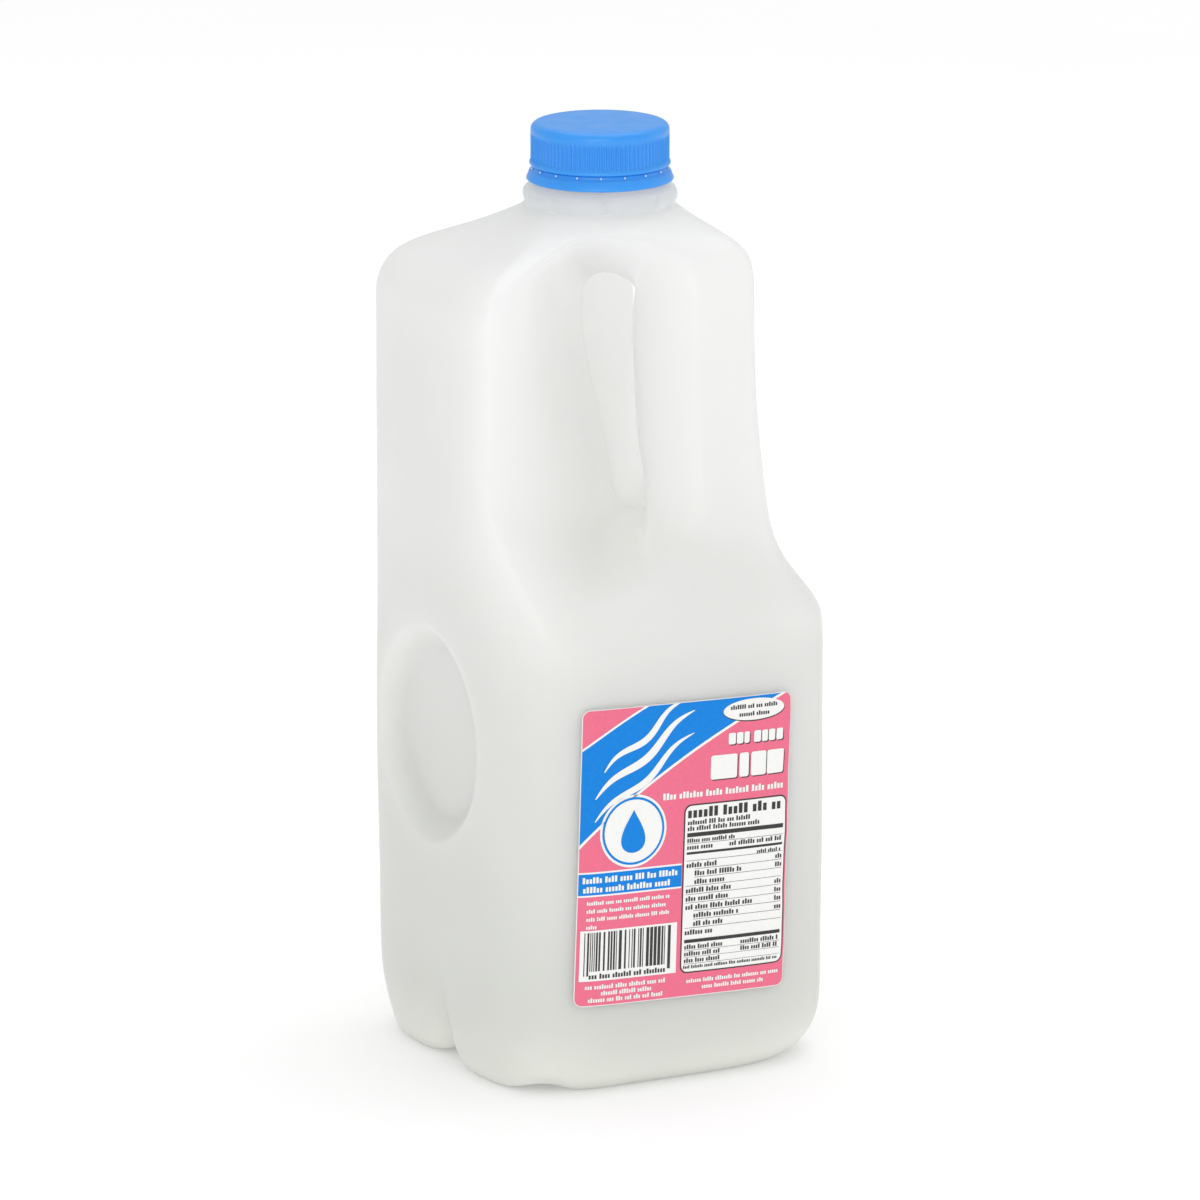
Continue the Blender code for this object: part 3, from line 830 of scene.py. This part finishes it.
def print_waves(art):
    """Three tapering waves along the band, as free decoration."""
    slope = math.radians(37.0)
    for start, length, wide in (((-28.5, 10.5), 38.0, 1.9), ((-28.5, 17.0), 38.0, 2.3),
                                ((-26.0, 24.5), 31.0, 1.9)):
        centre = []
        widths = []
        for k in range(41):
            s = k / 40
            sway = 1.1 * math.sin(s * 3 * math.pi)
            along = s * length
            centre.append((start[0] + along * math.cos(slope) - sway * math.sin(slope),
                           start[1] + along * math.sin(slope) + sway * math.cos(slope)))
            widths.append(wide * math.sin(math.pi * min(1.0, s * 0.97 + 0.02)) ** 0.8 + 0.05)
        art.ribbon(centre, widths, WHITE, 3)


def print_title(art):
    """White blocks with a dark shadow in place of the title, and a row of small print."""
    small = ((12.8, 2.3), (15.4, 2.1), (17.8, 1.7), (20.9, 2.3), (23.5, 1.9), (25.7, 2.1),
             (28.2, 2.2))
    large = ((7.4, 8.4), (16.5, 3.0), (20.2, 4.9), (25.4, 5.5))
    for left, width in small:
        block(art, left, 29.0, left + width, 32.3, 0.5)
    for left, width in large:
        block(art, left, 19.4, left + width, 26.3, 0.6)
    art.ticks(-7.4, 31.8, 14.9, 1.9, WHITE, 3, 3)
    art.field(ellipse(20.8, 38.3, 9.9, 3.2), BLACK, 3)
    art.field(ellipse(20.7, 38.55, 9.8, 3.1), WHITE, 4)
    art.ticks(13.2, 28.4, 38.9, 1.25, BLACK, 5, 5)
    art.ticks(16.0, 26.2, 36.7, 1.25, BLACK, 5, 6)


def block(art, left, low, right, high, radius):
    shadow = 0.34
    art.field(round_rectangle(left + shadow, low - shadow, right + shadow, high - shadow,
                              radius, 2), BLACK, 3)
    art.field(round_rectangle(left, low, right, high, radius, 2), WHITE, 4)


def print_seal(art):
    """A white disc with a blue drop."""
    art.field(ellipse(-16.5, 7.0, 10.4, 10.4), WHITE, 3)
    art.field(ellipse(-16.5, 7.0, 9.7, 9.7), BLUE, 4)
    art.field(ellipse(-16.5, 7.0, 9.0, 9.0), WHITE, 5)
    art.field(drop(-16.5, 6.2, 6.2), BLUE, 6)


def print_notes(art):
    """The blue strip, rows of small print, and a block of upright bars."""
    art.bar(-33.0, -10.9, -0.9, -3.8, WHITE, 2)
    art.bar(-33.0, -10.4, -0.9, -4.3, BLUE, 3)
    art.ticks(-31.6, -2.0, -7.0, 1.75, WHITE, 4, 11)
    art.ticks(-31.4, -4.2, -9.7, 1.75, WHITE, 4, 12)
    for row, right in enumerate((-4.0, -4.6, -4.4, -26.0)):
        art.ticks(-30.2, right, -13.3 - 2.3 * row, 1.15, WHITE, 3, 20 + row)
    art.bar(-31.8, -35.2, -1.9, -20.6, WHITE, 3)
    bars(art, -30.6, -3.0, -32.4, -21.2)
    art.ticks(-29.0, -4.0, -34.6, 1.5, BLACK, 4, 31)
    art.ticks(-30.0, -5.2, -37.6, 1.3, WHITE, 3, 32)
    art.ticks(-25.2, -9.0, -39.5, 1.3, WHITE, 3, 33)
    art.ticks(-29.0, -5.6, -41.4, 1.3, WHITE, 3, 34)
    art.ticks(1.6, 31.4, -38.6, 1.2, WHITE, 3, 35)
    art.ticks(6.6, 26.6, -40.6, 1.2, WHITE, 3, 36)


def bars(art, left, right, low, high):
    """Upright bars of unequal width. They follow no code."""
    draw = random.Random(8)
    u = left
    while u < right - 0.4:
        width = draw.choice((0.28, 0.28, 0.55, 0.55, 0.9))
        longer = 1.3 if u < left + 1.6 or u > right - 2.0 else 0.0
        art.bar(u, low - longer, min(u + width, right), high, BLACK, 4)
        u += width + draw.choice((0.3, 0.3, 0.6, 0.85))


def print_table(art):
    """The white table: outline, heading, thick and thin rules and rows of small print."""
    left, right, low, high = -0.6, 32.3, -35.7, 12.9
    art.field(round_rectangle(left, low, right, high, 2.2), BLACK, 3)
    art.field(round_rectangle(left + 0.4, low + 0.4, right - 0.4, high - 0.4, 1.9), WHITE, 4)
    art.ticks(left + 1.2, right - 0.9, 9.0, 2.9, BLACK, 5, 41)
    art.ticks(left + 1.2, 20.5, 7.0, 1.35, BLACK, 5, 42)
    art.ticks(left + 1.2, 23.5, 5.3, 1.35, BLACK, 5, 43)
    art.bar(left + 1.1, 3.5, right - 1.1, 4.7, BLACK, 5)
    art.ticks(left + 1.2, 16.0, 1.9, 1.2, BLACK, 5, 44)
    art.bar(left + 1.1, 1.5, right - 1.1, 1.62, BLACK, 5)
    art.ticks(left + 1.2, 9.6, -0.1, 1.35, BLACK, 5, 45)
    art.ticks(14.0, right - 1.3, -0.1, 1.35, BLACK, 5, 46)
    art.bar(left + 1.1, -1.5, right - 1.1, -0.8, BLACK, 5)
    art.ticks(23.0, right - 1.3, -3.2, 1.1, BLACK, 5, 47)
    rows = ((0.0, 11.0), (2.6, 18.6), (2.6, 14.0), (0.0, 15.4), (0.0, 14.0), (0.0, 22.0),
            (2.6, 17.6), (2.6, 13.0), (0.0, 9.4))
    pitch = 2.42
    for k, (indent, end) in enumerate(rows):
        v = -5.3 - pitch * k
        art.ticks(left + 1.2 + indent, end, v, 1.45, BLACK, 5, 50 + k)
        art.bar(left + 1.1 + indent, v + pitch - 0.5, right - 1.1, v + pitch - 0.38, BLACK, 5)
        if k not in (2, 7, 8):
            art.ticks(right - 3.2, right - 1.1, v, 1.35, BLACK, 5, 70 + k)
    art.bar(left + 1.1, -27.0, right - 1.1, -26.0, BLACK, 5)
    for k in range(3):
        v = -28.8 - 1.95 * k
        art.ticks(left + 1.2, 13.0, v, 1.3, BLACK, 5, 80 + k)
        if k < 2:
            art.ticks(18.5, right - 1.4, v, 1.3, BLACK, 5, 84 + k)
        art.bar(left + 1.1, v - 0.42, right - 1.1, v - 0.32, BLACK, 5)
    art.ticks(left + 1.0, right - 1.4, -34.4, 0.95, BLACK, 5, 90)


def cut_to_wall(bm):
    """Cuts flat fields into small cells, so that they can bend with the wall."""
    for k in range(-int(LABEL_WIDTH / 2 / CUT_U), int(LABEL_WIDTH / 2 / CUT_U) + 1):
        cut(bm, (k * CUT_U + 0.013, 0.0, 0.0), (1.0, 0.0, 0.0))
    for k in range(-int(LABEL_HEIGHT / 2 / CUT_V), int(LABEL_HEIGHT / 2 / CUT_V) + 1):
        cut(bm, (0.0, k * CUT_V + 0.013, 0.0), (0.0, 1.0, 0.0))


def cut(bm, place, direction):
    geometry = bm.verts[:] + bm.edges[:] + bm.faces[:]
    bmesh.ops.bisect_plane(bm, geom=geometry, plane_co=place, plane_no=direction, dist=0.0001)


def wrinkle(u, v):
    """The label stands off a little where its free edge is wavy."""
    edge = smooth((u - 22.0) / 10.0)
    return edge * (0.22 + 0.20 * math.sin(v * 0.21 + 0.6) + 0.08 * math.sin(v * 0.57))


def lay_on_wall(bm, tree):
    """Takes label places (u, v, layer) to the wall that the tree holds."""
    out = label_panel(0.0, 1.0, 0.0)
    for vertex in bm.verts:
        u, v, layer = vertex.co
        t = LABEL_T + u * math.cos(LABEL_TILT) - v * math.sin(LABEL_TILT)
        z = LABEL_Z + u * math.sin(LABEL_TILT) + v * math.cos(LABEL_TILT)
        start = label_panel(t, BODY_HALF + 12.0, z) * MM
        hit = tree.ray_cast(start, -out)[0]
        lift = LABEL_LIFT + wrinkle(u, v) + INK_LIFT * layer
        vertex.co = hit + out * lift * MM


def make_label(body, sheet_material, inks):
    """The label's sheet and its print, laid on the body's wall."""
    tree = BVHTree.FromPolygons([v.co for v in body.data.vertices],
                                [p.vertices for p in body.data.polygons])
    half_u, half_v = LABEL_WIDTH / 2, LABEL_HEIGHT / 2
    edge = round_rectangle(-half_u, -half_v, half_u, half_v, LABEL_CORNER, 6)
    bm = bmesh.new()
    bm.faces.new([bm.verts.new((u, v, 0.0)) for u, v in edge])
    cut_to_wall(bm)
    lay_on_wall(bm, tree)
    sheet = mesh_object("label_sheet", bm, (sheet_material,))
    film = sheet.modifiers.new("Film", "SOLIDIFY")
    film.thickness = FILM_THICK * MM
    film.offset = -1.0
    dress(sheet, "label")
    art = Print()
    half_u -= INK_INSET
    half_v -= INK_INSET
    field = round_rectangle(-half_u, -half_v, half_u, half_v, LABEL_CORNER - INK_INSET, 6)
    art.field(field, PINK, 1)
    for add in (print_band, print_waves, print_title, print_seal, print_notes, print_table):
        add(art)
    keep_inside(art.bm, half_u, half_v)
    cut_to_wall(art.bm)
    lay_on_wall(art.bm, tree)
    ink = mesh_object("label_print", art.bm, inks)
    dress(ink, None)


def keep_inside(bm, half_u, half_v):
    """Trims what crosses the printed field's edges."""
    for place, direction in (((half_u, 0, 0), (1, 0, 0)), ((-half_u, 0, 0), (-1, 0, 0)),
                             ((0, half_v, 0), (0, 1, 0)), ((0, -half_v, 0), (0, -1, 0))):
        geometry = bm.verts[:] + bm.edges[:] + bm.faces[:]
        bmesh.ops.bisect_plane(bm, geom=geometry, plane_co=place, plane_no=direction,
                               dist=0.0001, clear_outer=True)


def new_material(name):
    material = bpy.data.materials.new(name)
    material.use_nodes = True
    tree = material.node_tree
    return material, tree, tree.nodes["Principled BSDF"]


def noise_node(tree, scale, detail=3.0, roughness=0.5):
    place = tree.nodes.new("ShaderNodeTexCoord")
    texture = tree.nodes.new("ShaderNodeTexNoise")
    texture.inputs["Scale"].default_value = scale
    texture.inputs["Detail"].default_value = detail
    texture.inputs["Roughness"].default_value = roughness
    tree.links.new(place.outputs["Object"], texture.inputs["Vector"])
    return texture.outputs["Fac"]


def vary_color(tree, shader, factor, dark, light):
    """The base colour runs between two close shades with the noise."""
    ramp = tree.nodes.new("ShaderNodeValToRGB")
    ramp.color_ramp.elements[0].position = 0.3
    ramp.color_ramp.elements[0].color = (*dark, 1.0)
    ramp.color_ramp.elements[1].position = 0.7
    ramp.color_ramp.elements[1].color = (*light, 1.0)
    tree.links.new(factor, ramp.inputs["Fac"])
    tree.links.new(ramp.outputs["Color"], shader.inputs["Base Color"])


def remap(tree, factor, source, target):
    """Takes the range source to the range target, each given as its two ends."""
    node = tree.nodes.new("ShaderNodeMapRange")
    node.inputs["From Min"].default_value = source[0]
    node.inputs["From Max"].default_value = source[1]
    node.inputs["To Min"].default_value = target[0]
    node.inputs["To Max"].default_value = target[1]
    tree.links.new(factor, node.inputs["Value"])
    return node.outputs["Result"]


def vary_roughness(tree, shader, factor, low, high):
    tree.links.new(remap(tree, factor, (0.3, 0.7), (low, high)), shader.inputs["Roughness"])


def add_bump(tree, shader, factor, strength, distance):
    bump = tree.nodes.new("ShaderNodeBump")
    bump.inputs["Strength"].default_value = strength
    bump.inputs["Distance"].default_value = distance
    tree.links.new(factor, bump.inputs["Height"])
    tree.links.new(bump.outputs["Normal"], shader.inputs["Normal"])


def tint(tree, shader, factor, tints):
    """Multiplies the base colour by a ramp of tints, each given with its place from 0 to 1."""
    ramp = tree.nodes.new("ShaderNodeValToRGB")
    stops = ramp.color_ramp.elements
    for stop, (place, color) in zip(stops, (tints[0], tints[-1])):
        stop.position = place
        stop.color = (*color, 1.0)
    for place, color in tints[1:-1]:
        stops.new(place).color = (*color, 1.0)
    mix = tree.nodes.new("ShaderNodeMix")
    mix.data_type = "RGBA"
    mix.blend_type = "MULTIPLY"
    mix.inputs["Factor"].default_value = 1.0
    base = shader.inputs["Base Color"].links[0].from_socket
    tree.links.new(factor, ramp.inputs["Fac"])
    tree.links.new(base, mix.inputs[6])
    tree.links.new(ramp.outputs["Color"], mix.inputs[7])
    tree.links.new(mix.outputs[2], shader.inputs["Base Color"])


def height_node(tree):
    """0 at the ground and 1 at TINT_TOP."""
    place = tree.nodes.new("ShaderNodeTexCoord")
    split = tree.nodes.new("ShaderNodeSeparateXYZ")
    tree.links.new(place.outputs["Object"], split.inputs["Vector"])
    return remap(tree, split.outputs["Z"], (0.0, TINT_TOP), (0.0, 1.0))


def hollow_node(tree, reach):
    """1 on open faces, less in hollows that are narrower than the reach."""
    hollow = tree.nodes.new("ShaderNodeAmbientOcclusion")
    hollow.samples = 4
    hollow.inputs["Distance"].default_value = reach
    return hollow.outputs["AO"]


def jug_material():
    """Natural polyethylene full of milk: satin and milk white. Light spreads inside it, and
    further round the handle than round the label. Its base colour also holds painted shade towards
    the bottom, and painted light on the neck and in the hollows."""
    material, tree, shader = new_material("milk_white_polyethylene")
    vary_color(tree, shader, noise_node(tree, 26.0), (0.950, 0.952, 0.937), (0.968, 0.970, 0.957))
    # Painted shade towards the bottom and painted light on the neck, by height.
    tint(tree, shader, height_node(tree), PAINTED_SHADE_AND_LIGHT_BY_HEIGHT)
    # Painted light that brightens the hollows against the open faces.
    tint(tree, shader, hollow_node(tree, PAINTED_LIGHT_HOLLOW_REACH), PAINTED_LIGHT_IN_HOLLOWS)
    vary_roughness(tree, shader, noise_node(tree, 60.0), 0.36, 0.46)
    add_bump(tree, shader, noise_node(tree, 900.0, 2.0), 0.10, 0.0002)
    shader.inputs["Subsurface Weight"].default_value = 1.0
    shader.inputs["Subsurface Radius"].default_value = (1.0, 1.0, 0.92)
    shader.inputs["Specular IOR Level"].default_value = 0.42
    spread = remap(tree, height_node(tree), SPREAD_PLACES, SPREAD_DEPTHS)
    tree.links.new(spread, shader.inputs["Subsurface Scale"])
    return material


def seam_material():
    """The same plastic where it is a thin fin, without the milk behind it."""
    material, tree, shader = new_material("seam_white")
    vary_color(tree, shader, noise_node(tree, 26.0), (0.84, 0.845, 0.82), (0.86, 0.865, 0.84))
    vary_roughness(tree, shader, noise_node(tree, 60.0), 0.40, 0.50)
    return material


def cap_material():
    """Bright blue polypropylene, with painted shade darkening its narrow hollows."""
    material, tree, shader = new_material("cap_blue")
    vary_color(tree, shader, noise_node(tree, 120.0), (0.034, 0.320, 0.900), (0.040, 0.338, 0.930))
    vary_roughness(tree, shader, noise_node(tree, 200.0), 0.30, 0.40)
    add_bump(tree, shader, noise_node(tree, 2200.0, 2.0), 0.10, 0.0001)
    # Painted shade: darker where the cap's hollows are narrow.
    tint(tree, shader, hollow_node(tree, CAP_PAINTED_SHADE_REACH), CAP_PAINTED_SHADE_IN_HOLLOWS)
    shader.inputs["Subsurface Weight"].default_value = 0.15
    shader.inputs["Subsurface Radius"].default_value = (0.3, 0.6, 1.0)
    shader.inputs["Subsurface Scale"].default_value = 0.002
    return material


def film_material(name, dark, light, sheen=0.5):
    """One slightly uneven colour with a soft sheen: the label's inks, and the cap's bridges, whose
    pale blue is a painted highlight.
    """
    material, tree, shader = new_material(name)
    vary_color(tree, shader, noise_node(tree, 900.0, 4.0, 0.7), dark, light)
    vary_roughness(tree, shader, noise_node(tree, 150.0), 0.38, 0.48)
    add_bump(tree, shader, noise_node(tree, 1500.0, 2.0), 0.08, 0.0001)
    shader.inputs["Specular IOR Level"].default_value = sheen
    return material


def floor_material():
    material, tree, shader = new_material("pale_floor")
    vary_color(tree, shader, noise_node(tree, 3.0), (0.90, 0.90, 0.90), (0.92, 0.92, 0.92))
    shader.inputs["Roughness"].default_value = 0.9
    shader.inputs["Specular IOR Level"].default_value = 0.1
    shader.inputs["Emission Color"].default_value = (1.0, 1.0, 1.0, 1.0)
    shader.inputs["Emission Strength"].default_value = FLOOR_GLOW
    return material


def make_floor():
    bm = bmesh.new()
    bmesh.ops.create_grid(bm, x_segments=8, y_segments=8, size=FLOOR_SIZE)
    floor = mesh_object("floor", bm, (floor_material(),))
    floor.location.z = -0.0001


def add_area(name, place, size, power):
    """A square soft light that faces the jug's middle."""
    light = bpy.data.lights.new(name, "AREA")
    light.size = size
    light.energy = power
    lamp = new_object(name, light)
    lamp.location = place
    aim = Vector((0.0, 0.0, 0.13)) - Vector(place)
    lamp.rotation_euler = aim.to_track_quat("-Z", "Y").to_euler()


def make_lights():
    world = bpy.data.worlds.new("soft_white")
    world.use_nodes = True
    background = world.node_tree.nodes["Background"]
    background.inputs["Color"].default_value = (1.0, 1.0, 1.0, 1.0)
    background.inputs["Strength"].default_value = WORLD_STRENGTH
    bpy.context.scene.world = world
    for lamp in LAMPS:
        add_area(*lamp)


def make_camera():
    data = bpy.data.cameras.new("camera")
    data.sensor_width = 36.0
    data.lens = CAMERA_LENS
    data.clip_end = 20.0
    camera = new_object("camera", data)
    camera.location = (CAMERA_BACK * math.sin(CAMERA_AZIMUTH),
                       -CAMERA_BACK * math.cos(CAMERA_AZIMUTH), CAMERA_HEIGHT)
    camera.rotation_euler = (math.pi / 2 - CAMERA_TILT, 0.0, CAMERA_AZIMUTH)
    bpy.context.scene.camera = camera


def main():
    bpy.context.scene.view_settings.view_transform = "Standard"
    make_camera()
    make_lights()
    make_floor()
    jug = jug_material()
    blue = cap_material()
    body = make_body(jug)
    make_seam(body, seam_material())
    make_cap(blue)
    # The bridges' pale blue is a painted highlight on the small bumps.
    make_band(blue, film_material("bridge_painted_highlight", (0.50, 0.68, 0.90), (0.56, 0.74, 0.94)))
    white = film_material("ink_white", (0.90, 0.90, 0.88), (0.94, 0.94, 0.92))
    inks = (white,
            film_material("ink_pink", (0.850, 0.143, 0.250), (0.880, 0.165, 0.278)),
            film_material("ink_blue", (0.006, 0.222, 0.72), (0.012, 0.252, 0.77), 0.12),
            film_material("ink_black", (0.018, 0.017, 0.018), (0.035, 0.034, 0.035)))
    make_label(body, white, inks)


main()
